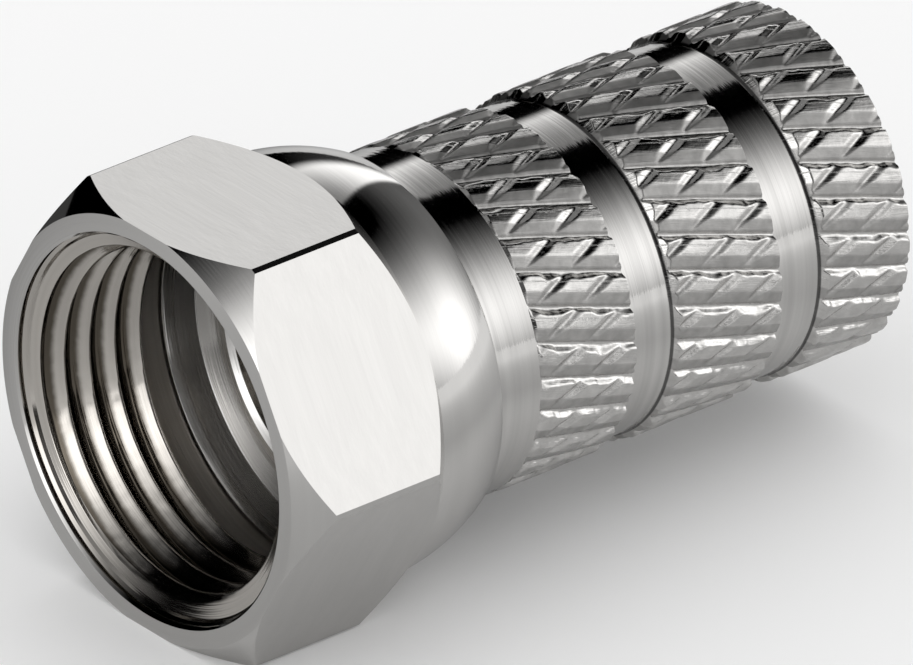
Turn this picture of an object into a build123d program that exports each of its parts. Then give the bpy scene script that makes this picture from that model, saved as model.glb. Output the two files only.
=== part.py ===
from build123d import *
import os
from math import cos, hypot, radians, tan

# Coaxial plug that twists onto a cable: a coupling nut that turns freely on a knurled body.
# Millimetres. It lies on one flat of its hexagon with its axis along Y and its mouth towards -Y.
# A name ending in _at is a distance back from the nut's front face, along the axis.

# Coupling nut, outside
across_flats = 11.0
nut_length = 7.16
flat_length = 4.85
front_chamfer_depth = 0.79
front_chamfer_angle = 47.0
rear_chamfer_angle = 45.0
skirt_lip_width = 0.38

# Coupling nut, inside: the plain bore is at the crests of the 3/8-32 thread
rim_width = 0.46
mouth_chamfer = 0.75
thread_relief_length = 1.05
flat_wall = 0.45
lip_thickness = 1.08
lip_reach = 0.50

# Running clearances between the nut and the body
radial_clearance = 0.07
axial_clearance = 0.08

# Body flange, held inside the nut, with a cup in its front face
flange_length = 1.50
cup_wall = 0.20
cup_depth = 0.92
cup_chamfer_length = 0.26
cup_chamfer_depth = 0.14

# Body behind the nut: collar, three knurled bands and two grooves
collar_length = 1.56
band_1_length = 3.03
groove_1_length = 1.53
band_2_length = 3.12
groove_2_length = 1.58
band_3_length = 2.52
band_height = 0.05
band_1_chamfer = 0.10
groove_depth = 0.20
ramp_length = 0.42

# Body bore: a stop lets only the cable's core through
sleeve_wall = 1.13
cable_entry_chamfer = 0.35
stop_height = 0.85
stop_thickness = 0.80
front_bore_length = 1.38
front_bore_step = 0.20
front_bore_chamfer = 0.14

# Knurl: furrows with one easy and one steep side, which wind round the axis by furrow_lead degrees for
# each millimetre back. The phase is a furrow's angle at the front face.
knurl_starts = 30
furrow_lead = 4.1
furrow_phase = -3.45
furrow_depth = 0.16
furrow_easy_side = 0.41
furrow_steep_side = 0.11
cutter_headroom = 0.08
cutter_overrun = 0.30

# Radii of the nut, worked inwards from its flats
flat_radius = across_flats / 2
corner_radius = flat_radius / cos(radians(30))
front_face_radius = corner_radius - front_chamfer_depth
mouth_radius = front_face_radius - rim_width
thread_crest_radius = mouth_radius - mouth_chamfer
relief_radius = flat_radius - flat_wall
neck_hole_radius = relief_radius - lip_reach
skirt_edge_radius = neck_hole_radius + skirt_lip_width

# Radii of the body, worked inwards from the nut that turns on it
flange_radius = relief_radius - radial_clearance
cup_radius = flange_radius - cup_wall
collar_radius = neck_hole_radius - radial_clearance
knurl_radius = collar_radius + band_height
groove_floor_radius = knurl_radius - groove_depth
cable_bore_radius = collar_radius - sleeve_wall
front_bore_radius = cable_bore_radius + front_bore_step
core_bore_radius = cable_bore_radius - stop_height

# Places along the nut, worked forwards from its rear face
front_chamfer_end_at = front_chamfer_depth * tan(radians(front_chamfer_angle))
rear_chamfer_start_at = flat_length - (corner_radius - flat_radius) * tan(radians(rear_chamfer_angle))
relief_end_at = nut_length - lip_thickness
flange_rear_at = relief_end_at - axial_clearance
flange_front_at = flange_rear_at - flange_length
thread_end_at = flange_front_at - thread_relief_length
cup_floor_at = flange_front_at + cup_depth

# Places along the body, worked backwards from the nut
stop_front_at = cup_floor_at + front_bore_length
stop_rear_at = stop_front_at + stop_thickness
band_1_front_at = nut_length + collar_length
band_1_rear_at = band_1_front_at + band_1_length
band_2_front_at = band_1_rear_at + groove_1_length
band_2_rear_at = band_2_front_at + band_2_length
band_3_front_at = band_2_rear_at + groove_2_length
total_length = band_3_front_at + band_3_length
front_at = -total_length / 2
axis_height = flat_radius

# Section plane: x runs back along the axis from the front face, y is the radius
axis = Axis((0, front_at, axis_height), (0, 1, 0))
section = Plane(origin=(0, front_at, axis_height), x_dir=(0, 1, 0), z_dir=(1, 0, 0))
front_plane = Plane(origin=(0, front_at, axis_height), x_dir=(1, 0, 0), z_dir=(0, 1, 0))


def furrow_cutter(starts_at, ends_at):
    """A straight V-shaped bar for one furrow, square-ended, along the furrow's helix at mid length.

    It is drawn in front_plane's own frame, at angle 0 round the axis.
    """
    slope = knurl_radius * radians(furrow_lead)
    half_length = (ends_at - starts_at) / 2
    top = 1 + cutter_headroom / furrow_depth
    middle_plane = Plane(
        origin=(knurl_radius, 0, starts_at + half_length), x_dir=(0, 1, 0), z_dir=(0, 0, 1)
    )
    with BuildPart() as cutter:
        with BuildSketch(middle_plane):
            with BuildLine():
                Polyline(
                    (-furrow_easy_side * top, -cutter_headroom),
                    (0, furrow_depth),
                    (furrow_steep_side * top, -cutter_headroom),
                    close=True,
                )
            make_face()
        extrude(amount=half_length * hypot(1, slope), dir=(0, slope, 1), both=True)
    return cutter.part


# Stretches of the body that the knurl is rolled on: where each starts and ends
knurled_stretches = [
    (band_1_front_at + band_1_chamfer, band_1_rear_at + cutter_overrun),
    (band_2_front_at - cutter_overrun, band_2_rear_at + cutter_overrun),
    (band_3_front_at - cutter_overrun, total_length + cutter_overrun),
]

os.makedirs("parts", exist_ok=True)

# The nut is a hexagonal bar turned to the outline of its two chamfers and its skirt
with BuildPart() as coupling_nut:
    with BuildSketch(front_plane):
        RegularPolygon(radius=corner_radius, side_count=6)
    extrude(amount=nut_length)
    with BuildSketch(section):
        with BuildLine():
            Polyline(
                (nut_length, skirt_edge_radius),
                (nut_length, 0),
                (0, 0),
                (0, front_face_radius),
                (front_chamfer_end_at, corner_radius),
                (rear_chamfer_start_at, corner_radius),
                (flat_length, flat_radius),
            )
            TangentArc((flat_length, flat_radius), (nut_length, skirt_edge_radius), tangent=(1, 0))
        make_face()
    revolve(axis=axis, mode=Mode.INTERSECT)
    with BuildSketch(section):
        with BuildLine():
            Polyline(
                (0, 0),
                (0, mouth_radius),
                (mouth_chamfer, thread_crest_radius),
                (thread_end_at, thread_crest_radius),
                (thread_end_at, relief_radius),
                (relief_end_at, relief_radius),
                (relief_end_at, neck_hole_radius),
                (nut_length, neck_hole_radius),
                (nut_length, 0),
                close=True,
            )
        make_face()
    revolve(axis=axis, mode=Mode.SUBTRACT)

coupling_nut.part.label = "coupling_nut"
export_step(coupling_nut.part, "parts/coupling_nut.step")

# The body is turned: flange, collar, three bands, and the ramps that rise to two of them
with BuildPart(front_plane) as body:
    with BuildSketch(section):
        with BuildLine():
            Polyline(
                (flange_front_at, 0),
                (flange_front_at, flange_radius),
                (flange_rear_at, flange_radius),
                (flange_rear_at, collar_radius),
                (band_1_front_at, collar_radius),
                (band_1_front_at + band_1_chamfer, knurl_radius),
                (band_1_rear_at, knurl_radius),
                (band_1_rear_at, groove_floor_radius),
                (band_2_front_at - ramp_length, groove_floor_radius),
                (band_2_front_at, knurl_radius),
                (band_2_rear_at, knurl_radius),
                (band_2_rear_at, groove_floor_radius),
                (band_3_front_at - ramp_length, groove_floor_radius),
                (band_3_front_at, knurl_radius),
                (total_length, knurl_radius),
                (total_length, 0),
                close=True,
            )
        make_face()
    revolve(axis=axis)
    with BuildSketch(section):
        with BuildLine():
            Polyline(
                (flange_front_at, 0),
                (flange_front_at, cup_radius + cup_chamfer_depth),
                (flange_front_at + cup_chamfer_length, cup_radius),
                (cup_floor_at, cup_radius),
                (cup_floor_at, front_bore_radius + front_bore_chamfer),
                (cup_floor_at + front_bore_chamfer, front_bore_radius),
                (stop_front_at, front_bore_radius),
                (stop_front_at, core_bore_radius),
                (stop_rear_at, core_bore_radius),
                (stop_rear_at, cable_bore_radius),
                (total_length - cable_entry_chamfer, cable_bore_radius),
                (total_length, cable_bore_radius + cable_entry_chamfer),
                (total_length, 0),
                close=True,
            )
        make_face()
    revolve(axis=axis, mode=Mode.SUBTRACT)

    # The furrows of the knurl keep their phase from band to band
    for starts_at, ends_at in knurled_stretches:
        middle_angle = furrow_phase + furrow_lead * (starts_at + ends_at) / 2
        with PolarLocations(0, knurl_starts, middle_angle):
            add(furrow_cutter(starts_at, ends_at), mode=Mode.SUBTRACT)

body.part.label = "body"
export_step(body.part, "parts/body.step")
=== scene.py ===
from math import atan2, cos, degrees, hypot, inf, pi, radians, sin, tan
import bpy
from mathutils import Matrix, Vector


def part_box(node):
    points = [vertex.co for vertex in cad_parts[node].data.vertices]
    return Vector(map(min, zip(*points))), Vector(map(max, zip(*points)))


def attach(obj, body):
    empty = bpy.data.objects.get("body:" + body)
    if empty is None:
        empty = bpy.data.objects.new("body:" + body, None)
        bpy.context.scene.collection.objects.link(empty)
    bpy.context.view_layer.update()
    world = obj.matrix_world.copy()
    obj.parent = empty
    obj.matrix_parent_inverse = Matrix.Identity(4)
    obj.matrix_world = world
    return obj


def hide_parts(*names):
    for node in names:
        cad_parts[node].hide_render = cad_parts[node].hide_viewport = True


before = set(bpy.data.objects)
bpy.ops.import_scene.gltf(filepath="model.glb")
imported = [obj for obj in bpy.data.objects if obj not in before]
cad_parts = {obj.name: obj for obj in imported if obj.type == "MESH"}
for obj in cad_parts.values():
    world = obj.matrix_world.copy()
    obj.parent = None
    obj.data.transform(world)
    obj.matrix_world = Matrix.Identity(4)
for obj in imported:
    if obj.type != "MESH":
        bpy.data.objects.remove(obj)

from types import SimpleNamespace

import bmesh
import bpy
from mathutils import Vector

bl_info = {
    "name": "Twist-on coaxial plug",
    "version": (1, 0, 0),
    "blender": (4, 5, 0),
    "location": "3D View > Sidebar > Coaxial Plug",
    "description": "Turns, threads and knurls a coaxial plug around its fixed frame, and lights it",
    "category": "Add Mesh",
}

# Lengths in the outlines are millimetres back from the nut's front face and out from the axis
MM = 0.001
NUT_LOW, NUT_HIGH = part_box("coupling_nut")
BODY_LOW, BODY_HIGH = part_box("body")
FRONT = NUT_LOW.y
AXIS_HEIGHT = (NUT_LOW.z + NUT_HIGH.z) / 2
FLAT_RADIUS = (NUT_HIGH.z - NUT_LOW.z) / 2 / MM
NUT_LENGTH = (NUT_HIGH.y - NUT_LOW.y) / MM
TOTAL_LENGTH = (BODY_HIGH.y - NUT_LOW.y) / MM
FLANGE_FRONT = (BODY_LOW.y - NUT_LOW.y) / MM
FLANGE_RADIUS = BODY_HIGH.x / MM

# Fineness of the turned rings: columns round the axis, millimetres between the points of a shaped stretch,
# and the angle in degrees past which an edge is shaded sharp
PLAIN_COLUMNS = 384
THREAD_COLUMNS, THREAD_SPACING = 300, 0.021
BORE_COLUMNS, BORE_SPACING = 160, 0.07
COLUMNS_PER_FURROW, KNURL_SPACING = 24, 0.036
SHARP_ANGLE = 35

# The mouth: a thin rim, a gap behind it, and a countersink whose steps are (back from the end of the wall,
# in from the wall)
RIM_START, RIM_END, GAP_DEPTH = 0.03, 0.05, 0.10
COUNTERSINK = ((0.02, 0.03), (0.09, 0.11), (0.18, 0.16))
COUNTERSINK_LENGTH = 0.45

# Both threads: half the width of a root, slope of the flanks, rounding, and how the roots wander
JACK_THREAD_SHAPE = (0.06, 1.15, 0.06)
CABLE_THREAD_SHAPE = (0.12, 0.9, 0.05)
WANDER_SCALE, WANDER_REACH = 3000, 0.02

# The cup's lip and floor, the length of the tail that band 3 makes, and the lap of hidden faces
LIP_LENGTH, LIP_DEPTH = 0.26, 0.14
TAIL_LENGTH, LAP = 0.39, 0.01

# The knurl's wear. Shares are of a furrow's depth; the easy side falls gently and then at FALL_SLOPE, and the
# steep side widens where a slow noise passes WORN_FROM.
UNEVEN_SCALE, UNEVEN_NOTCHES = 900, 0.8
RAGGED_SCALE, RAGGED_REACH, RAGGED_NOTCHES = 3400, 0.10, 0.4
WORN_FROM, WORN_GAIN, WORN_WIDTH = 0.42, 3.2, 0.16
EASY_SLOPE, FALL_SLOPE, FALL_START = 0.55, 3.9, 2.88
STEEP_START, FLOOR_SHARE = 1.25, 0.86
KNURL_ROUNDING, KNURL_ONSET = 0.012, 0.02
DULL_FROM, DULL_TO, DULL_REACH = 0.06, 0.96, 0.18

# Inputs of the knurl's tree that bear the names of the user's sizes
PATTERN_INPUTS = (
    "Furrow Lead", "Furrow Phase", "Furrow Depth", "Long Side", "Steep Side",
    "Notch Lead", "Notch Phase", "Notch Depth", "Notch Half Width",
)

# What the metal mirrors of the studio: each soft lamp's azimuth and elevation in degrees, counted from +X
# towards +Y, its strength, and its focus, which is greater for a smaller lamp. ROOM_SHADE is taken off all.
ROOM_SHADE = 0.045
SOFT_LAMPS = (
    (33, 23, 1.19, 10.2),
    (65, 9.5, 1.75, 15.0),
    (112, 8, 0.20, 10.0),
    (-80, 8, 2.4, 9.3),
    (-15, 38, 0.12, 9.0),
)

# A bright card with two straight sides. Each side is a place in the sky, and the cosines from it at which
# the card begins and is whole. The card fades between two heights.
CARD_UPRIGHT = ((214.5, 5.5), (-0.015, 0.020))
CARD_LEANING = ((37.5, 30.6), (-0.060, 0.075))
CARD_HEIGHTS, CARD_STRENGTH, CARD_FADE = (0.22, 0.78), 1.5, 1.2

# What the metal mirrors of the floor, as shares of white, with painted shade and light: round the plug, more
# right under it, and more far away and in a painted pool under the lamp. The painted dark share is taken off at
# the far left. Distances are metres from the middle.
FLOOR_HALF = 1.5
FLOOR_ROUND, FLOOR_UNDER, FLOOR_FAR, FLOOR_LAMP, FLOOR_DARK = 0.50, 0.18, 0.18, 0.32, 0.92
UNDER_EDGE, FAR_EDGE = (0.008, 0.016), (0.008, 0.070)
LAMP_AZIMUTH, LAMP_EDGE = 60, (0.6, 1.0)
DARK_AZIMUTH, DARK_EDGE = 190, (0.65, 0.96)

# The camera: azimuth and elevation in degrees, where it aims and how much it takes in, in millimetres
CAMERA_AZIMUTH, CAMERA_ELEVATION = 50.4, 28.7
AIM_BACK, AIM_BELOW = 9.78, 0.675
VIEW_WIDTH, LENS, SENSOR = 22.34, 1200, 36


# Sizes and colours that a user would change

def length(name, description, millimetres):
    """A property for a length."""
    return bpy.props.FloatProperty(
        name=name, description=description, default=millimetres * MM, subtype="DISTANCE"
    )


class NutSizes(bpy.types.PropertyGroup):
    """Sizes of the coupling nut that the frame's box doesn't give."""

    face_radius: length("Front face radius", "Outer edge of the flat ring round the mouth", 5.561)
    mouth_radius: length("Mouth radius", "Widest radius of the countersunk mouth", 5.10)
    mouth_wall: length("Mouth wall", "Length of the plain wall in front of the countersink", 0.19)
    crest_radius: length("Thread crest radius", "Radius at the crests of the internal thread", 4.35)
    root_radius: length("Thread root radius", "Radius at the roots of the internal thread", 4.72)
    thread_pitch: length("Thread pitch", "32 turns to the inch", 0.79375)
    thread_phase: length("Thread phase", "Distance back of a root at angle 0", 0.18)
    thread_end: length("Thread end", "Where the thread opens into the relief", 3.45)
    relief_radius: length("Relief radius", "Radius of the room that the body's flange turns in", 5.05)
    chamfer_length: length("Front chamfer length", "Length of the front chamfer at the corners", 0.847)
    flat_length: length("Flat length", "Where the flats end and the skirt begins", 4.85)
    skirt_radius: length("Skirt edge radius", "Outer radius of the rear face", 4.93)
    neck_radius: length("Neck hole radius", "Hole that the body passes through", 4.55)
    lip_thickness: length("Lip thickness", "Length of the neck hole", 1.08)
    corner_flat: length("Corner flat", "Width of the flat cut along the six long edges", 0.15)
    edge_easing: length("Edge easing", "Radius worn on the sharp edges", 0.03)


class BodySizes(bpy.types.PropertyGroup):
    """Sizes of the body that the frame's box doesn't give. Places are distances back from the front face."""

    collar_radius: length("Collar radius", "Plain collar", 4.48)
    knurl_radius: length("Knurl radius", "Top of the bands", 4.53)
    groove_radius: length("Groove radius", "Floor of the grooves", 4.33)
    flange_length: length("Flange length", "Flange held in the nut", 1.50)
    cup_radius: length("Cup radius", "Wall of the front cup", 4.78)
    cup_depth: length("Cup depth", "Depth of the front cup", 0.92)
    band_1_front: length("Band 1 front", "Place of its front", 8.72)
    band_1_rear: length("Band 1 rear", "Place of its rear", 11.75)
    band_2_front: length("Band 2 front", "Place of its front", 13.28)
    band_2_rear: length("Band 2 rear", "Place of its rear", 16.40)
    band_3_front: length("Band 3 front", "Place of its front", 17.98)
    ramp_length: length("Ramp length", "Rise to bands 2 and 3", 0.42)
    front_bore: length("Front bore radius", "Bore behind the cup", 3.55)
    core_bore: length("Core bore radius", "Hole in the stop", 2.50)
    cable_bore: length("Cable bore radius", "Crests of its thread", 3.35)
    cable_root: length("Cable thread root", "Roots of its thread", 3.62)
    cable_pitch: length("Cable thread pitch", "Coarse thread", 1.40)
    stop_front: length("Stop front", "Place of the cable stop", 6.80)
    stop_thickness: length("Stop thickness", "Of the cable stop", 0.80)
    entry_chamfer: length("Entry chamfer", "At the cable's end", 0.35)


class KnurlSizes(bpy.types.PropertyGroup):
    """The rolled knurl: furrows with one steep side, and shallow notches that cross between them."""

    starts: bpy.props.IntProperty(name="Starts", description="Furrows round the body", default=30, min=3)
    furrow_lead: bpy.props.FloatProperty(
        name="Furrow lead", description="Degrees that a furrow winds per millimetre back", default=4.1
    )
    furrow_phase: bpy.props.FloatProperty(
        name="Furrow phase", description="Angle of a furrow at the front face",
        default=radians(-3.45), subtype="ANGLE",
    )
    furrow_depth: length("Furrow depth", "Depth of a full V", 0.16)
    long_side: length("Long side", "Width of the easy side", 0.41)
    steep_side: length("Steep side", "Width of the steep side", 0.11)
    notch_lead: bpy.props.FloatProperty(
        name="Notch lead", description="Degrees that a notch winds per millimetre back", default=-5.6
    )
    notch_phase: bpy.props.FloatProperty(
        name="Notch phase", description="Angle of a notch at the front face",
        default=radians(-0.25), subtype="ANGLE",
    )
    notch_depth: length("Notch depth", "Depth at the middle", 0.09)
    notch_half_width: length("Notch half width", "From the middle to an edge", 0.19)


class Finishes(bpy.types.PropertyGroup):
    """Colours of the plating and of the studio."""

    nickel: bpy.props.FloatVectorProperty(
        name="Nickel", description="Bright plating", subtype="COLOR", size=3, default=(0.64, 0.63, 0.615)
    )
    inner_nickel: bpy.props.FloatVectorProperty(
        name="Inner nickel", description="Thin plating inside the bores", subtype="COLOR", size=3,
        default=(0.60, 0.57, 0.53),
    )
    # Partly tarnish and partly painted shade in the thread's roots, and painted shade in the gap behind the rim
    tarnish_and_shade: bpy.props.FloatVectorProperty(
        name="Tarnish", description="Brown film in the roots of the thread", subtype="COLOR", size=3,
        default=(0.075, 0.062, 0.045),
    )
    floor: bpy.props.FloatVectorProperty(
        name="Floor", description="Pale studio floor", subtype="COLOR", size=3, default=(0.95, 0.95, 0.95)
    )
    sky_strength: bpy.props.FloatProperty(
        name="Sky strength", description="Even light of the studio, where 1 is white", default=1.0, min=0.0
    )


def in_millimetres(group):
    """A group's sizes as plain numbers, with its lengths in millimetres and its angles in degrees."""
    sizes = SimpleNamespace()
    for prop in group.bl_rna.properties:
        unit = getattr(prop, "unit", "NONE")
        value = getattr(group, prop.identifier)
        if unit == "LENGTH":
            value /= MM
        elif unit == "ROTATION":
            value = degrees(value)
        setattr(sizes, prop.identifier, value)
    return sizes


class Wiring:
    """Adds nodes to a tree and links them; a value may be a socket or a plain number."""

    def __init__(self, tree):
        self.tree = tree
        self.column = 0

    def node(self, kind, **settings):
        made = self.tree.nodes.new(kind)
        self.column += 1
        made.location = (180 * self.column, 0)
        for name, value in settings.items():
            setattr(made, name, value)
        return made

    def feed(self, socket, value):
        if isinstance(value, bpy.types.NodeSocket):
            self.tree.links.new(value, socket)
        else:
            socket.default_value = value

    def math(self, operation, *values):
        made = self.node("ShaderNodeMath", operation=operation)
        for socket, value in zip(made.inputs, values):
            self.feed(socket, value)
        return made.outputs[0]

    def vector(self, x, y, z):
        made = self.node("ShaderNodeCombineXYZ")
        for socket, value in zip(made.inputs, (x, y, z)):
            self.feed(socket, value)
        return made.outputs[0]

    def split(self, vector):
        made = self.node("ShaderNodeSeparateXYZ")
        self.feed(made.inputs[0], vector)
        return made.outputs

    def noise(self, vector, scale, detail=2.0):
        made = self.node("ShaderNodeTexNoise")
        self.feed(made.inputs["Vector"], vector)
        self.feed(made.inputs["Scale"], scale)
        self.feed(made.inputs["Detail"], detail)
        return made.outputs[0]

    def soft_step(self, value, low, high):
        """0 below low, 1 above high, and a soft step between."""
        made = self.node("ShaderNodeMapRange", interpolation_type="SMOOTHSTEP")
        self.feed(made.inputs["Value"], value)
        self.feed(made.inputs["From Min"], low)
        self.feed(made.inputs["From Max"], high)
        return made.outputs["Result"]

    def limited(self, value):
        """The value kept between 0 and 1."""
        return self.math("MAXIMUM", self.math("MINIMUM", value, 1), 0)

    def from_axis(self, x, z):
        """Height over the plug's axis and distance from it, both in metres."""
        height = self.math("SUBTRACT", z, AXIS_HEIGHT)
        square = self.math("ADD", self.math("MULTIPLY", x, x), self.math("MULTIPLY", height, height))
        return height, self.math("SQRT", square)

    def distance_back(self, y):
        """Distance back from the nut's front face, in millimetres."""
        return self.math("DIVIDE", self.math("SUBTRACT", y, FRONT), MM)


# Turning: outlines, corners and rings

def eased(corners):
    """Points of a closed outline whose corners are (back, radius, easing) and are rounded by easing."""
    points = []
    for index, (back, radius, easing) in enumerate(corners):
        here = Vector((back, radius))
        if easing <= 0:
            points.append(here)
            continue
        before = Vector(corners[index - 1][:2]) - here
        after = Vector(corners[(index + 1) % len(corners)][:2]) - here
        turn = before.angle(after)
        reach = min(easing / tan(turn / 2), before.length * 0.49, after.length * 0.49)
        first = here + before.normalized() * reach
        last = here + after.normalized() * reach
        for step in range(5):
            share = step / 4
            points.append(first * (1 - share) ** 2 + here * 2 * share * (1 - share) + last * share**2)
    return points


def arc(centre, radius, first_angle, last_angle, steps):
    """Corners along an arc in the section plane, with no easing of their own."""
    corners = []
    for step in range(steps + 1):
        angle = first_angle + (last_angle - first_angle) * step / steps
        corners.append((centre[0] + radius * cos(angle), centre[1] + radius * sin(angle), 0))
    return corners


def divided(points, spacing, least_radius=0, most_radius=inf):
    """The closed outline with more points on each stretch whose ends both lie between two radii."""
    fine = []
    for index, here in enumerate(points):
        there = points[(index + 1) % len(points)]
        fine.append(here)
        if least_radius <= min(here.y, there.y) and max(here.y, there.y) <= most_radius:
            count = int((there - here).length / spacing)
            fine.extend(here.lerp(there, step / count) for step in range(1, count))
    return fine


def ring_mesh(name, points, columns):
    """A closed ring turned about the plug's axis from a closed outline of (back, radius) points."""
    shape = bmesh.new()
    rows = []
    for column in range(columns):
        angle = 2 * pi * column / columns
        side, up = cos(angle), -sin(angle)
        rows.append([
            shape.verts.new((p.y * MM * side, FRONT + p.x * MM, AXIS_HEIGHT + p.y * MM * up)) for p in points
        ])
    for column in range(columns):
        here, there = rows[column], rows[(column + 1) % columns]
        for index in range(len(points)):
            after = (index + 1) % len(points)
            shape.faces.new((here[index], there[index], there[after], here[after]))
    mesh = plain_mesh(name, shape)
    for face in mesh.polygons:
        face.use_smooth = True
    mesh.set_sharp_from_angle(angle=radians(SHARP_ANGLE))
    return mesh


def plain_mesh(name, shape):
    """A mesh from a bmesh shape, with its faces turned outwards; the shape is freed."""
    bmesh.ops.recalc_face_normals(shape, faces=shape.faces)
    mesh = bpy.data.meshes.new(name)
    shape.to_mesh(mesh)
    shape.free()
    return mesh


def new_object(name, mesh):
    made = bpy.data.objects.new(name, mesh)
    bpy.context.scene.collection.objects.link(made)
    return made


def settled(holder, name):
    """Turns an object's modifiers into plain mesh, as a new object at the origin."""
    graph = bpy.context.evaluated_depsgraph_get()
    mesh = bpy.data.meshes.new_from_object(holder.evaluated_get(graph))
    mesh.name = name
    old = holder.data
    bpy.data.objects.remove(holder)
    bpy.data.meshes.remove(old)
    return new_object(name, mesh)


def dress_inside(holder, material, low_back, high_back, most_radius):
    """Gives a second material to the faces between two distances back and within a radius of the axis."""
    holder.data.materials.append(material)
    last = len(holder.data.materials) - 1
    for face in holder.data.polygons:
        back = (face.center.y - FRONT) / MM
        radius = hypot(face.center.x, face.center.z - AXIS_HEIGHT) / MM
        if low_back < back < high_back and radius < most_radius:
            face.material_index = last


def with_tree(holder, tree, values):
    """Puts a Geometry Nodes tree on an object, with its inputs set by their names."""
    modifier = holder.modifiers.new(tree.name, "NODES")
    modifier.node_group = tree
    names = {item.name: item.identifier for item in tree.interface.items_tree if item.item_type == "SOCKET"}
    for name, value in values.items():
        modifier[names[name]] = value


def joined(parts, name):
    """One object from several, with all their faces and materials."""
    with bpy.context.temp_override(active_object=parts[0], selected_editable_objects=parts):
        bpy.ops.object.join()
    parts[0].name = name
    parts[0].data.name = name
    return parts[0]


# Geometry Nodes trees

def shaping_tree(name, inputs):
    """An empty tree that takes and gives a mesh, with float inputs of the given names."""
    tree = bpy.data.node_groups.new(name, "GeometryNodeTree")
    tree.interface.new_socket("Geometry", in_out="INPUT", socket_type="NodeSocketGeometry")
    for label in inputs:
        tree.interface.new_socket(label, in_out="INPUT", socket_type="NodeSocketFloat")
    tree.interface.new_socket("Material", in_out="INPUT", socket_type="NodeSocketMaterial")
    tree.interface.new_socket("Geometry", in_out="OUTPUT", socket_type="NodeSocketGeometry")
    return tree


def place_fields(wires):
    """Fields of a point's place: x, y and height over the axis in metres, distance back and radius in
    millimetres, and angle round the axis in degrees."""
    x, y, z = wires.split(wires.node("GeometryNodeInputPosition").outputs[0])
    height, out = wires.from_axis(x, z)
    radius = wires.math("DIVIDE", out, MM)
    angle = wires.math("MULTIPLY", wires.math("ARCTAN2", height, x), -180 / pi)
    return x, y, height, wires.distance_back(y), radius, angle


def move_to_radius(wires, geometry, x, y, height, radius, new_radius):
    """Moves points straight out or in, to a new distance from the axis."""
    share = wires.math("DIVIDE", new_radius, radius)
    new_x = wires.math("MULTIPLY", x, share)
    new_z = wires.math("ADD", wires.math("MULTIPLY", height, share), AXIS_HEIGHT)
    mover = wires.node("GeometryNodeSetPosition")
    wires.feed(mover.inputs["Geometry"], geometry)
    wires.feed(mover.inputs["Position"], wires.vector(new_x, y, new_z))
    return mover.outputs[0]


def finish_tree(wires, geometry, given):
    """Ends a tree in Realize Instances and Set Material."""
    whole = wires.node("GeometryNodeRealizeInstances")
    wires.feed(whole.inputs[0], geometry)
    dress = wires.node("GeometryNodeSetMaterial")
    wires.feed(dress.inputs["Geometry"], whole.outputs[0])
    wires.feed(dress.inputs["Material"], given["Material"])
    out = wires.node("NodeGroupOutput")
    wires.feed(out.inputs[0], dress.outputs[0])


def thread_tree():
    """Cuts an internal thread into a turned ring: a helical groove with rounded roots and crests."""
    tree = shaping_tree("Cut thread", [
        "Pitch", "Phase", "Root Radius", "Root Half Width", "Flank Slope", "Rounding",
    ])
    wires = Wiring(tree)
    given = wires.node("NodeGroupInput").outputs
    x, y, height, back, radius, angle = place_fields(wires)
    advance = wires.math("MULTIPLY", wires.math("DIVIDE", angle, 360), given["Pitch"])
    place = wires.math("SUBTRACT", wires.math("SUBTRACT", back, advance), given["Phase"])
    wander = wires.noise(wires.node("GeometryNodeInputPosition").outputs[0], WANDER_SCALE)
    place = wires.math("MULTIPLY_ADD", wires.math("SUBTRACT", wander, 0.5), WANDER_REACH, place)
    half = wires.math("DIVIDE", given["Pitch"], 2)
    offset = wires.math("ABSOLUTE", wires.math("WRAP", place, half, wires.math("MULTIPLY", half, -1)))
    past_root = wires.math(
        "SMOOTH_MAX", wires.math("SUBTRACT", offset, given["Root Half Width"]), 0, given["Rounding"]
    )
    drop = wires.math("MULTIPLY", past_root, given["Flank Slope"])
    groove = wires.math("SUBTRACT", given["Root Radius"], drop)
    new_radius = wires.math("SMOOTH_MAX", radius, groove, given["Rounding"])
    outer = wires.math("GREATER_THAN", radius, given["Root Radius"])
    kept = wires.math("MULTIPLY", radius, outer)
    cut = wires.math("MULTIPLY", new_radius, wires.math("SUBTRACT", 1, outer))
    moved = move_to_radius(wires, given["Geometry"], x, y, height, radius, wires.math("ADD", kept, cut))
    finish_tree(wires, moved, given)
    return tree


def thread_values(shape, pitch, phase, root_radius, material):
    """Inputs of the thread tree for one of the two threads."""
    half_width, slope, rounding = shape
    return {
        "Pitch": pitch, "Phase": phase, "Root Radius": root_radius, "Root Half Width": half_width,
        "Flank Slope": slope, "Rounding": rounding, "Material": material,
    }


def twisted(wires, given):
    """The given ring with its columns wound round the axis, so that they run along the furrows."""
    position = wires.node("GeometryNodeInputPosition").outputs[0]
    back = wires.distance_back(wires.split(position)[1])
    turn = wires.math("MULTIPLY", wires.math("MULTIPLY", back, given["Furrow Lead"]), pi / 180)
    phase_turn = wires.math("MULTIPLY", given["Furrow Phase"], pi / 180)
    turner = wires.node("ShaderNodeVectorRotate", rotation_type="AXIS_ANGLE")
    wires.feed(turner.inputs["Vector"], position)
    wires.feed(turner.inputs["Center"], (0, 0, AXIS_HEIGHT))
    wires.feed(turner.inputs["Axis"], (0, 1, 0))
    wires.feed(turner.inputs["Angle"], wires.math("ADD", turn, phase_turn))
    twister = wires.node("GeometryNodeSetPosition")
    wires.feed(twister.inputs["Geometry"], given["Geometry"])
    wires.feed(twister.inputs["Position"], turner.outputs[0])
    return twister.outputs[0]


def distance_across(wires, given, pattern, angle, back, least, most):
    """Distance round the body, in millimetres, from a line of a pattern that winds round it. The angles to
    the next lines are wrapped between least and most."""
    swept = wires.math("MULTIPLY", back, given[f"{pattern} Lead"])
    place = wires.math("SUBTRACT", wires.math("SUBTRACT", angle, given[f"{pattern} Phase"]), swept)
    to_arc = wires.math("MULTIPLY", given["Top Radius"], pi / 180)
    return wires.math("MULTIPLY", wires.math("WRAP", place, most, least), to_arc)


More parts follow.
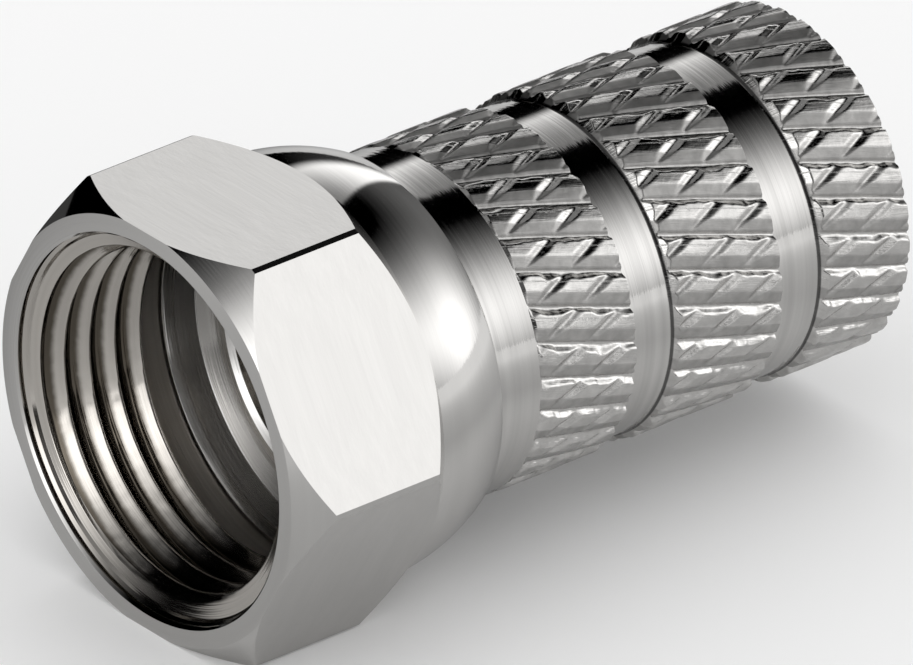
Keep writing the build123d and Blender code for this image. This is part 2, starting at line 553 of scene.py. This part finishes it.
def knurl_tree():
    """Rolls a knurl into a turned ring: winds its columns along the furrows and presses both patterns in. It
    keeps each point's place across the furrow and back, and how dull it is, for the material."""
    tree = shaping_tree("Roll knurl", ["Starts", "Top Radius", "Starts At", *PATTERN_INPUTS, "Rounding"])
    wires = Wiring(tree)
    given = wires.node("NodeGroupInput").outputs
    ring = twisted(wires, given)
    x, y, height, back, radius, angle = place_fields(wires)
    step = wires.math("DIVIDE", 360, given["Starts"])

    position = wires.node("GeometryNodeInputPosition").outputs[0]
    slow = wires.noise(position, UNEVEN_SCALE)
    quick = wires.noise(position, RAGGED_SCALE)
    wobble = wires.math("MULTIPLY", wires.math("SUBTRACT", quick, 0.5), RAGGED_REACH)

    across = distance_across(
        wires, given, "Furrow", angle, back,
        wires.math("MULTIPLY", step, -2 / 3), wires.math("DIVIDE", step, 3),
    )
    easy = wires.math("ADD", 1, wires.math("DIVIDE", across, given["Long Side"]))
    gentle = wires.math("MULTIPLY", easy, EASY_SLOPE)
    falling = wires.math("MULTIPLY_ADD", easy, FALL_SLOPE, -FALL_START)
    worn = wires.math("MAXIMUM", wires.math("MULTIPLY", wires.math("SUBTRACT", slow, WORN_FROM), WORN_GAIN), 0)
    steep_side = wires.math("MULTIPLY_ADD", worn, WORN_WIDTH, given["Steep Side"])
    steep = wires.math(
        "SUBTRACT", STEEP_START, wires.math("DIVIDE", wires.math("ADD", across, wobble), steep_side)
    )
    share = wires.math("MINIMUM", wires.math("MAXIMUM", gentle, falling), steep)
    furrow = wires.math("MULTIPLY", wires.math("MINIMUM", share, FLOOR_SHARE), given["Furrow Depth"])

    half = wires.math("DIVIDE", step, 2)
    aside = distance_across(wires, given, "Notch", angle, back, wires.math("MULTIPLY", half, -1), half)
    aside = wires.math("ABSOLUTE", wires.math("MULTIPLY_ADD", wobble, RAGGED_NOTCHES, aside))
    open_share = wires.math("SUBTRACT", 1, wires.math("DIVIDE", aside, given["Notch Half Width"]))
    uneven = wires.math("MULTIPLY_ADD", wires.math("SUBTRACT", slow, 0.5), UNEVEN_NOTCHES, 1.0)
    notch = wires.math("MULTIPLY", wires.math("MULTIPLY", open_share, given["Notch Depth"]), uneven)

    deepest = wires.math("SMOOTH_MAX", furrow, notch, given["Rounding"])
    pressed = wires.math("SMOOTH_MAX", deepest, 0, given["Rounding"])
    begun = wires.soft_step(
        back,
        wires.math("SUBTRACT", given["Starts At"], KNURL_ONSET),
        wires.math("ADD", given["Starts At"], KNURL_ONSET),
    )
    depth = wires.math("MULTIPLY", pressed, begun)
    new_radius = wires.math("MINIMUM", radius, wires.math("SUBTRACT", given["Top Radius"], depth))

    inside = wires.math("MULTIPLY", wires.math("SUBTRACT", easy, DULL_FROM), 12)
    ahead = wires.math("MULTIPLY", wires.math("SUBTRACT", DULL_TO, easy), 20)
    dull = wires.limited(wires.math("MINIMUM", inside, ahead))
    rolled_on = wires.math("GREATER_THAN", radius, wires.math("SUBTRACT", given["Top Radius"], DULL_REACH))
    store = wires.node("GeometryNodeStoreNamedAttribute", data_type="FLOAT_VECTOR", domain="POINT")
    wires.feed(store.inputs["Geometry"], ring)
    wires.feed(store.inputs["Name"], "rolled")
    wires.feed(store.inputs["Value"], wires.vector(across, back, wires.math("MULTIPLY", dull, rolled_on)))
    moved = move_to_radius(wires, store.outputs[0], x, y, height, radius, new_radius)
    finish_tree(wires, moved, given)
    return tree


# Materials

def metal(name, colour, roughness):
    """A plated metal with its shader; gives the material, its wiring and the shader node."""
    material = bpy.data.materials.new(name)
    material.use_nodes = True
    wires = Wiring(material.node_tree)
    shader = material.node_tree.nodes["Principled BSDF"]
    shader.inputs["Base Color"].default_value = (*colour, 1)
    shader.inputs["Metallic"].default_value = 1
    shader.inputs["Roughness"].default_value = roughness
    return material, wires, shader


def bump(wires, shader, height, strength):
    """Scratches and dents of a hundredth of a millimetre at most."""
    made = wires.node("ShaderNodeBump")
    wires.feed(made.inputs["Height"], height)
    wires.feed(made.inputs["Strength"], strength)
    wires.feed(made.inputs["Distance"], 0.01 * MM)
    wires.feed(shader.inputs["Normal"], made.outputs[0])


def toned(wires, shader, colour, tone):
    """Multiplies the plating's colour by a varying tone."""
    made = wires.node("ShaderNodeVectorMath", operation="SCALE")
    wires.feed(made.inputs[0], tuple(colour))
    wires.feed(made.inputs["Scale"], tone)
    wires.feed(shader.inputs["Base Color"], made.outputs["Vector"])


def round_marks(wires, y, out, along, across_scale, along_scale, detail):
    """Noise drawn out round the axis: fine across the marks, and coarse along them."""
    return wires.noise(wires.vector(
        wires.math("MULTIPLY", y, across_scale),
        wires.math("MULTIPLY", out, across_scale),
        wires.math("MULTIPLY", along, along_scale),
    ), 1.0, detail)


def turned_metal(name, colour, roughness, mark_strength, streak_strength):
    """Turning marks run round the axis as long, broken scratches, under a light film of finer ones."""
    material, wires, shader = metal(name, colour, roughness)
    place = wires.node("ShaderNodeTexCoord").outputs["Object"]
    x, y, z = wires.split(place)
    out = wires.from_axis(x, z)[1]
    long_marks = round_marks(wires, y, out, x, 9000, 300, 2.0)
    fine_marks = round_marks(wires, y, out, z, 26000, 700, 1.0)
    bump(wires, shader, wires.math("MULTIPLY_ADD", fine_marks, 0.35, long_marks), mark_strength)
    streaks = wires.math("SUBTRACT", round_marks(wires, y, out, x, 3500, 120, 4.0), 0.5)
    toned(wires, shader, colour, wires.math("MULTIPLY_ADD", streaks, streak_strength, 1))
    smear = wires.noise(place, 500.0)
    wires.feed(shader.inputs["Roughness"], wires.math("MULTIPLY_ADD", smear, 0.06, roughness - 0.03))
    return material


def threaded_metal(name, finishes, roughness, low, high, gap_radius):
    """Turned metal whose thread roots go brown and near black, partly tarnish and partly painted shade,
    deepening from radius low to high, and with painted shade in the gap behind the rim, beyond gap_radius. All
    three are in millimetres."""
    darkening_start, darkening_share = 0.55, 0.93
    uneven_scale, uneven_reach = 4200.0, 0.06
    material = turned_metal(name, finishes.inner_nickel, roughness, 0.40, 0.5)
    wires = Wiring(material.node_tree)
    shader = material.node_tree.nodes["Principled BSDF"]
    place = wires.node("ShaderNodeTexCoord").outputs["Object"]
    x, y, z = wires.split(place)
    out = wires.math("DIVIDE", wires.from_axis(x, z)[1], MM)
    uneven = wires.math("SUBTRACT", wires.noise(place, uneven_scale, 4.0), 0.5)
    # Partly tarnish, partly painted shade: the roots are darkened more the deeper they lie
    deep = wires.soft_step(wires.math("MULTIPLY_ADD", uneven, uneven_reach, out), low, high)
    behind_mouth = wires.math("GREATER_THAN", wires.distance_back(y), darkening_start)
    tarnish_and_painted_shade = wires.math("MULTIPLY", deep, behind_mouth)
    # Painted shade: the gap behind the rim is darkened all over
    tarnish_and_painted_shade = wires.math("MAXIMUM", tarnish_and_painted_shade, wires.math("GREATER_THAN", out, gap_radius))
    mixed = wires.node("ShaderNodeMix", data_type="RGBA")
    wires.feed(mixed.inputs["Factor"], wires.math("MULTIPLY", tarnish_and_painted_shade, darkening_share))
    wires.feed(mixed.inputs["A"], shader.inputs["Base Color"].links[0].from_socket)
    wires.feed(mixed.inputs["B"], (*finishes.tarnish_and_shade, 1))
    wires.feed(shader.inputs["Base Color"], mixed.outputs["Result"])
    return material


def rolled_metal(name, colour, roughness, foot_radius):
    """Metal pressed by the knurling wheel: bright crests and edges, dull sides, fine drag lines and dents, and
    a dark line of painted shade at the foot of each ramp, just beyond foot_radius in millimetres."""
    dull_roughness, dull_shade, foot_shade = 0.34, 0.26, 0.8
    material, wires, shader = metal(name, colour, roughness)
    source = wires.node("ShaderNodeAttribute", attribute_name="rolled")
    across, back, dull = wires.split(source.outputs["Vector"])
    lines = wires.vector(wires.math("MULTIPLY", across, 28), wires.math("MULTIPLY", back, 2.0), 0)
    place = wires.node("ShaderNodeTexCoord").outputs["Object"]
    dents = wires.noise(place, 5000.0, 3.0)
    bump(wires, shader, wires.math("MULTIPLY_ADD", dents, 1.5, wires.noise(lines, 1.0, 3.0)), 0.55)
    rough = wires.math("MULTIPLY_ADD", wires.noise(place, 900.0), 0.10, roughness - 0.05)
    wires.feed(shader.inputs["Roughness"], wires.math("MULTIPLY_ADD", dull, dull_roughness, rough))
    stain = wires.math("MULTIPLY", wires.math("SUBTRACT", wires.noise(place, 3200.0, 3.0), 0.5), 0.5)
    tone = wires.math("ADD", wires.math("MULTIPLY_ADD", dull, -dull_shade, 1), stain)
    # Painted shade: a dark line painted along the foot of each ramp, where it rises from the groove's floor
    x, y, z = wires.split(place)
    out = wires.math("SUBTRACT", wires.math("DIVIDE", wires.from_axis(x, z)[1], MM), foot_radius)
    begun = wires.math("MULTIPLY", out, 250)
    ended = wires.math("MULTIPLY_ADD", out, -60, 2.8)
    foot = wires.limited(wires.math("MINIMUM", begun, ended))
    toned(wires, shader, colour, wires.math("MULTIPLY", tone, wires.math("MULTIPLY_ADD", foot, -foot_shade, 1)))
    return material


# Pieces

class PLUG_OT_turn_nut(bpy.types.Operator):
    """Turns the coupling nut, mills its flats and cuts its thread"""

    bl_idname = "plug.turn_nut"
    bl_label = "Coupling nut"

    def execute(self, context):
        sizes = in_millimetres(context.scene.plug_nut)
        finishes = context.scene.plug_finishes
        bright = turned_metal("nut_nickel", finishes.nickel, 0.07, 0.16, 0.12)
        inner = threaded_metal("thread_nickel", finishes, 0.12, 4.50, 4.64, sizes.mouth_radius)
        dull = turned_metal("relief_nickel", finishes.inner_nickel, 0.33, 0.50, 0.8)
        shell = self.shell(sizes)
        shell.data.materials.append(bright)
        relief_end = NUT_LENGTH - sizes.lip_thickness
        dress_inside(shell, dull, sizes.thread_end - 0.1, relief_end + 0.01, sizes.relief_radius + 0.02)
        nut = joined([shell, self.thread(sizes, inner)], "coupling_nut_dressed")
        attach(nut, "nut")
        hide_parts("coupling_nut")
        return {"FINISHED"}

    def shell(self, sizes):
        """The outside, the relief and the lip, cut from hexagonal bar, with a pocket for the threaded ring."""
        ease = sizes.edge_easing
        corner = FLAT_RADIUS / cos(radians(30))
        beyond = corner + 0.15
        chamfer_slope = (corner - sizes.face_radius) / sizes.chamfer_length
        chamfer_top = (beyond - sizes.face_radius) / chamfer_slope
        drop = FLAT_RADIUS - sizes.skirt_radius
        run = NUT_LENGTH - sizes.flat_length
        skirt_curve = (run**2 + drop**2) / (2 * drop)
        skirt_centre = (sizes.flat_length, FLAT_RADIUS - skirt_curve)
        skirt_turn = 2 * atan2(drop, run)
        relief_end = NUT_LENGTH - sizes.lip_thickness
        pocket_radius, pocket_start, pocket_end = sizes.relief_radius + 0.10, 0.06, sizes.thread_end - 0.05
        outline = [
            (0, sizes.face_radius, 0),
            (chamfer_top, beyond, 0),
            (sizes.flat_length - (beyond - FLAT_RADIUS), beyond, 0),
            *arc(skirt_centre, skirt_curve, pi / 2, pi / 2 - skirt_turn, 24)[:-1],
            (NUT_LENGTH, sizes.skirt_radius, ease),
            (NUT_LENGTH, sizes.neck_radius, ease),
            (relief_end, sizes.neck_radius, ease),
            (relief_end, sizes.relief_radius, 0.05),
            (sizes.thread_end + LAP, sizes.relief_radius, 0),
            (pocket_end, sizes.relief_radius, 0),
            (pocket_end, pocket_radius, 0),
            (pocket_start, pocket_radius, 0),
            (pocket_start, sizes.mouth_radius - 0.06, 0),
            (0, sizes.mouth_radius, ease / 2),
        ]
        blank = new_object("nut_blank", ring_mesh("nut_blank", eased(outline), PLAIN_COLUMNS))
        bar = new_object("hexagonal_bar", self.bar_mesh(corner, sizes.corner_flat))
        mill = blank.modifiers.new("Mill flats", "BOOLEAN")
        mill.operation = "INTERSECT"
        mill.solver = "EXACT"
        mill.object = bar
        wear = blank.modifiers.new("Ease edges", "BEVEL")
        wear.limit_method = "ANGLE"
        wear.angle_limit = radians(24)
        wear.width = ease * MM
        wear.segments = 2
        wear.harden_normals = True
        shell = settled(blank, "nut_shell")
        bpy.data.objects.remove(bar)
        return shell

    def bar_mesh(self, corner, flat):
        """A hexagonal bar that lies on one side, longer than the nut, with a narrow flat on each long edge."""
        out = corner - flat / 2 / tan(radians(60))
        outline = []
        for side in range(6):
            middle = radians(60 * side)
            for aside in (-flat / 2, flat / 2):
                outline.append((
                    out * cos(middle) - aside * sin(middle),
                    out * sin(middle) + aside * cos(middle),
                ))
        shape = bmesh.new()
        ends = []
        for back in (-1, NUT_LENGTH + 1):
            ends.append([
                shape.verts.new((x * MM, FRONT + back * MM, AXIS_HEIGHT + z * MM)) for x, z in outline
            ])
        for index in range(len(outline)):
            after = (index + 1) % len(outline)
            shape.faces.new((ends[0][index], ends[0][after], ends[1][after], ends[1][index]))
        shape.faces.new(ends[0])
        shape.faces.new(ends[1])
        return plain_mesh("hexagonal_bar", shape)

    def thread(self, sizes, material):
        """The threaded bore and the countersink in front of it, as a ring let into the shell."""
        seat = sizes.relief_radius + 0.15
        wall = sizes.mouth_radius - 0.015
        wall_end = sizes.mouth_wall
        outline = [
            (RIM_START, wall, 0),
            (RIM_END, wall + GAP_DEPTH, 0.01),
            (wall_end, wall + GAP_DEPTH, 0.01),
            *((wall_end + back, wall - inwards, 0.01) for back, inwards in COUNTERSINK),
            (wall_end + COUNTERSINK_LENGTH, sizes.crest_radius, 0.05),
            (sizes.thread_end, sizes.crest_radius, 0.02),
            (sizes.thread_end, seat, 0),
            (RIM_START, seat, 0),
        ]
        points = divided(eased(outline), THREAD_SPACING, most_radius=seat - LAP)
        blank = new_object("thread_blank", ring_mesh("thread_blank", points, THREAD_COLUMNS))
        with_tree(blank, thread_tree(), thread_values(
            JACK_THREAD_SHAPE, sizes.thread_pitch, sizes.thread_phase, sizes.root_radius, material
        ))
        return settled(blank, "nut_thread")


class PLUG_OT_turn_body(bpy.types.Operator):
    """Turns the body's flange, cup, collar, grooves and bores"""

    bl_idname = "plug.turn_body"
    bl_label = "Turned body"

    def execute(self, context):
        sizes = in_millimetres(context.scene.plug_body)
        finishes = context.scene.plug_finishes
        bright = turned_metal("body_nickel", finishes.nickel, 0.08, 0.60, 0.5)
        cup = turned_metal("cup_nickel", finishes.nickel, 0.18, 0.60, 0.8)
        inner = turned_metal("bore_nickel", finishes.inner_nickel, 0.2, 0.3, 0.4)
        flange_rear = FLANGE_FRONT + sizes.flange_length
        stop_rear = sizes.stop_front + sizes.stop_thickness
        seat = sizes.cable_root + 0.18
        outline = self.outline(sizes, flange_rear, stop_rear, seat)
        turned = new_object("body_turned", ring_mesh("body_turned", eased(outline), PLAIN_COLUMNS))
        turned.data.materials.append(bright)
        dress_inside(turned, cup, FLANGE_FRONT - 0.01, flange_rear, FLANGE_RADIUS + 0.01)
        body = joined([turned, self.cable_thread(sizes, stop_rear + 0.004, seat + 0.05, inner)], "body_turned")
        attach(body, "sleeve")
        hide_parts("body")
        return {"FINISHED"}

    def outline(self, sizes, flange_rear, stop_rear, seat):
        """The turning without its bands and its tail: flange, collar, grooves, stop, bores and cup."""
        cup_floor = FLANGE_FRONT + sizes.cup_depth
        collar_end = sizes.band_1_front + 0.04
        tail = TOTAL_LENGTH - TAIL_LENGTH - LAP
        return [
            (FLANGE_FRONT, FLANGE_RADIUS, 0.05),
            (flange_rear, FLANGE_RADIUS, 0.03),
            (flange_rear, sizes.collar_radius, 0.05),
            (collar_end, sizes.collar_radius, 0),
            (collar_end, sizes.groove_radius, 0),
            (tail, sizes.groove_radius, 0),
            (tail, seat, 0),
            (stop_rear, seat, 0),
            (stop_rear, sizes.core_bore, 0.03),
            (sizes.stop_front, sizes.core_bore, 0.03),
            (sizes.stop_front, sizes.front_bore, 0.05),
            (cup_floor + LIP_DEPTH, sizes.front_bore, 0.02),
            (cup_floor, sizes.front_bore + LIP_DEPTH, 0.02),
            (cup_floor, sizes.cup_radius, 0.04),
            (FLANGE_FRONT + LIP_LENGTH, sizes.cup_radius, 0.03),
            (FLANGE_FRONT, sizes.cup_radius + LIP_DEPTH, 0.02),
        ]

    def cable_thread(self, sizes, front, seat, material):
        """The threaded wall of the cable bore, as a ring let into the body."""
        rear = TOTAL_LENGTH - TAIL_LENGTH + LAP
        outline = [
            (front, sizes.cable_bore, 0),
            (rear, sizes.cable_bore, 0),
            (rear, seat, 0),
            (front, seat, 0),
        ]
        points = divided(eased(outline), BORE_SPACING, most_radius=sizes.cable_bore + LAP)
        blank = new_object("bore_blank", ring_mesh("bore_blank", points, BORE_COLUMNS))
        with_tree(blank, bpy.data.node_groups["Cut thread"], thread_values(
            CABLE_THREAD_SHAPE, sizes.cable_pitch, 0.0, sizes.cable_root, material
        ))
        return settled(blank, "cable_thread")


class PLUG_OT_roll_bands(bpy.types.Operator):
    """Rolls the three knurled bands"""

    bl_idname = "plug.roll_bands"
    bl_label = "Knurled bands"

    def execute(self, context):
        sizes = in_millimetres(context.scene.plug_body)
        knurl = in_millimetres(context.scene.plug_knurl)
        nickel = context.scene.plug_finishes.nickel
        rolled = rolled_metal("rolled_nickel", nickel, 0.09, sizes.groove_radius)
        pattern = {label: getattr(knurl, label.replace(" ", "_").lower()) for label in PATTERN_INPUTS}
        tree = knurl_tree()
        for number, outline in enumerate(self.outlines(sizes), start=1):
            name = f"knurled_band_{number}"
            points = divided(eased(outline), KNURL_SPACING, least_radius=sizes.groove_radius - 0.03)
            columns = knurl.starts * COLUMNS_PER_FURROW
            blank = new_object(name + "_blank", ring_mesh(name + "_blank", points, columns))
            with_tree(blank, tree, {
                **pattern,
                "Starts": float(knurl.starts),
                "Top Radius": sizes.knurl_radius,
                "Starts At": sizes.band_1_front + 0.05,
                "Rounding": KNURL_ROUNDING,
                "Material": rolled,
            })
            band = settled(blank, name)
            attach(band, "sleeve")
            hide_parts("body")
        return {"FINISHED"}

    def outlines(self, sizes):
        """The three bands as plain rings. The third one makes the tail as well."""
        top = sizes.knurl_radius
        under = sizes.groove_radius - 0.08
        tail = TOTAL_LENGTH - TAIL_LENGTH
        band_1 = [
            (sizes.band_1_front, under, 0),
            (sizes.band_1_front, sizes.collar_radius - 0.004, 0),
            (sizes.band_1_front + 0.10, top, 0.03),
            (sizes.band_1_rear, top, 0.015),
            (sizes.band_1_rear, under, 0),
        ]
        band_2 = [
            *self.ramp(sizes, sizes.band_2_front, under),
            (sizes.band_2_rear, top, 0.015),
            (sizes.band_2_rear, under, 0),
        ]
        band_3 = [
            *self.ramp(sizes, sizes.band_3_front, under),
            (TOTAL_LENGTH, top, 0.04),
            (TOTAL_LENGTH, sizes.cable_bore + sizes.entry_chamfer, 0.02),
            (TOTAL_LENGTH - sizes.entry_chamfer, sizes.cable_bore, 0.02),
            (tail, sizes.cable_bore, 0),
            (tail, under, 0),
        ]
        return band_1, band_2, band_3

    def ramp(self, sizes, front, under):
        """The S-shaped rise from a groove's floor to the front edge of a band, steepest near its top."""
        steps, reach = 20, 0.92
        start = front - sizes.ramp_length
        foot = sizes.groove_radius - 0.004
        corners = [(start - LAP, under, 0)]
        for step in range(steps + 1):
            share = step / steps
            climbed = min((share / reach) ** 2, 1)
            rise = climbed * climbed * (3 - 2 * climbed)
            corners.append((start + sizes.ramp_length * share, foot + (sizes.knurl_radius - foot) * rise, 0))
        return corners


class PLUG_OT_set_studio(bpy.types.Operator):
    """Sets the floor, the light and the camera"""

    bl_idname = "plug.set_studio"
    bl_label = "Studio"

    def execute(self, context):
        finishes = context.scene.plug_finishes
        self.floor(finishes)
        self.sky(context, finishes)
        self.camera(context)
        context.scene.view_settings.view_transform = "Standard"
        return {"FINISHED"}

    def floor(self, finishes):
        """A pale floor. What the metal mirrors of it is painted: painted shade round the plug, a little painted
        light right under it, a painted pool of light under the lamp at the right, and painted shade at the far
        left, where the room is dark too."""
        corners = [(x * FLOOR_HALF, y * FLOOR_HALF, 0) for x, y in ((-1, -1), (1, -1), (1, 1), (-1, 1))]
        mesh = bpy.data.meshes.new("studio_floor")
        mesh.from_pydata(corners, [], [(0, 1, 2, 3)])
        material = bpy.data.materials.new("floor_paper")
        material.use_nodes = True
        wires = Wiring(material.node_tree)
        shader = material.node_tree.nodes["Principled BSDF"]
        shader.inputs["Roughness"].default_value = 0.9
        shader.inputs["Specular IOR Level"].default_value = 0
        place = wires.node("ShaderNodeTexCoord").outputs["Object"]
        distance = wires.node("ShaderNodeVectorMath", operation="LENGTH")
        wires.feed(distance.inputs[0], place)
        outwards = wires.node("ShaderNodeVectorMath", operation="NORMALIZE")
        wires.feed(outwards.inputs[0], place)
        distance, outwards = distance.outputs["Value"], outwards.outputs["Vector"]
        # Painted shade and painted light in the floor's colour for glossy rays, by distance and direction from
        # the plug
        far = wires.soft_step(distance, *FAR_EDGE)
        under = wires.math("SUBTRACT", 1, wires.soft_step(distance, *UNDER_EDGE))
        lit = wires.soft_step(self.facing(wires, outwards, LAMP_AZIMUTH, 0), *LAMP_EDGE)
        dark = wires.soft_step(self.facing(wires, outwards, DARK_AZIMUTH, 0), *DARK_EDGE)
        away = wires.math("MULTIPLY_ADD", lit, FLOOR_LAMP, FLOOR_FAR)
        shade = wires.math("MULTIPLY_ADD", far, away, FLOOR_ROUND)
        shade = wires.math("MULTIPLY_ADD", under, FLOOR_UNDER, shade)
        shade = wires.math("MULTIPLY", shade, wires.math("MULTIPLY_ADD", dark, -FLOOR_DARK, 1))
        colour = wires.node("ShaderNodeMix", data_type="RGBA")
        wires.feed(colour.inputs["Factor"], wires.node("ShaderNodeLightPath").outputs["Is Glossy Ray"])
        wires.feed(colour.inputs["A"], (*finishes.floor, 1))
        wires.feed(colour.inputs["B"], shade)
        wires.feed(shader.inputs["Base Color"], colour.outputs["Result"])
        mesh.materials.append(material)
        new_object("studio_floor", mesh)

    def sky(self, context, finishes):
        """An even white sky for the floor and the background; the metal mirrors soft lamps in a dim room."""
        world = bpy.data.worlds.new("studio_sky")
        world.use_nodes = True
        world.cycles.sampling_method = "NONE"
        wires = Wiring(world.node_tree)
        direction = wires.node("ShaderNodeTexCoord").outputs["Generated"]
        room = -ROOM_SHADE
        for azimuth, elevation, strength, focus in SOFT_LAMPS:
            facing = self.facing(wires, direction, azimuth, elevation)
            spread = wires.math("MULTIPLY", wires.math("SUBTRACT", facing, 1), focus)
            room = wires.math("ADD", room, wires.math("MULTIPLY", wires.math("EXPONENT", spread), strength))
        room = wires.math("MAXIMUM", wires.math("ADD", room, self.card(wires, direction)), 0)
        strength = wires.node("ShaderNodeMix", data_type="FLOAT")
        wires.feed(strength.inputs["Factor"], wires.node("ShaderNodeLightPath").outputs["Is Glossy Ray"])
        wires.feed(strength.inputs["A"], finishes.sky_strength)
        wires.feed(strength.inputs["B"], room)
        background = world.node_tree.nodes["Background"]
        background.inputs["Color"].default_value = (1, 1, 1, 1)
        wires.feed(background.inputs["Strength"], strength.outputs["Result"])
        context.scene.world = world

    def facing(self, wires, direction, azimuth, elevation):
        """Cosine of the angle between a direction and a place in the sky."""
        turn, rise = radians(azimuth), radians(elevation)
        dot = wires.node("ShaderNodeVectorMath", operation="DOT_PRODUCT")
        wires.feed(dot.inputs[0], direction)
        wires.feed(dot.inputs[1], (cos(rise) * cos(turn), cos(rise) * sin(turn), sin(rise)))
        return dot.outputs["Value"]

    def card(self, wires, direction):
        """A bright card behind the plug, with a straight upright side and a leaning one."""
        upright, leaning = (
            wires.soft_step(self.facing(wires, direction, *place), *edge)
            for place, edge in (CARD_UPRIGHT, CARD_LEANING)
        )
        above = wires.soft_step(wires.split(direction)[2], *CARD_HEIGHTS)
        lit = wires.math("SUBTRACT", CARD_STRENGTH, wires.math("MULTIPLY", above, CARD_FADE))
        return wires.math("MULTIPLY", wires.math("MULTIPLY", upright, leaning), lit)

    def camera(self, context):
        """A long lens at the photograph's angle."""
        azimuth, elevation = radians(CAMERA_AZIMUTH), radians(CAMERA_ELEVATION)
        target = Vector((0, FRONT + AIM_BACK * MM, AXIS_HEIGHT - AIM_BELOW * MM))
        toward = Vector((cos(elevation) * sin(azimuth), -cos(elevation) * cos(azimuth), sin(elevation)))
        lens = bpy.data.cameras.new("photo_camera")
        lens.lens = LENS
        lens.sensor_width = SENSOR
        eye = new_object("photo_camera", lens)
        eye.location = target + toward * (VIEW_WIDTH * MM * LENS / SENSOR)
        eye.rotation_euler = (-toward).to_track_quat("-Z", "Y").to_euler()
        context.scene.camera = eye


class PLUG_PT_maker(bpy.types.Panel):
    """Lists the steps that make the plug"""

    bl_label = "Coaxial Plug"
    bl_idname = "PLUG_PT_maker"
    bl_space_type = "VIEW_3D"
    bl_region_type = "UI"
    bl_category = "Coaxial Plug"

    def draw(self, context):
        for operator in (PLUG_OT_turn_nut, PLUG_OT_turn_body, PLUG_OT_roll_bands, PLUG_OT_set_studio):
            self.layout.operator(operator.bl_idname)


CLASSES = (
    NutSizes, BodySizes, KnurlSizes, Finishes,
    PLUG_OT_turn_nut, PLUG_OT_turn_body, PLUG_OT_roll_bands, PLUG_OT_set_studio, PLUG_PT_maker,
)


def register():
    for item in CLASSES:
        bpy.utils.register_class(item)
    bpy.types.Scene.plug_nut = bpy.props.PointerProperty(type=NutSizes)
    bpy.types.Scene.plug_body = bpy.props.PointerProperty(type=BodySizes)
    bpy.types.Scene.plug_knurl = bpy.props.PointerProperty(type=KnurlSizes)
    bpy.types.Scene.plug_finishes = bpy.props.PointerProperty(type=Finishes)


def unregister():
    del bpy.types.Scene.plug_finishes
    del bpy.types.Scene.plug_knurl
    del bpy.types.Scene.plug_body
    del bpy.types.Scene.plug_nut
    for item in reversed(CLASSES):
        bpy.utils.unregister_class(item)


def main():
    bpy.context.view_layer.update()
    register()
    bpy.ops.plug.turn_nut()
    bpy.ops.plug.turn_body()
    bpy.ops.plug.roll_bands()
    bpy.ops.plug.set_studio()


if __name__ == "__main__":
    main()
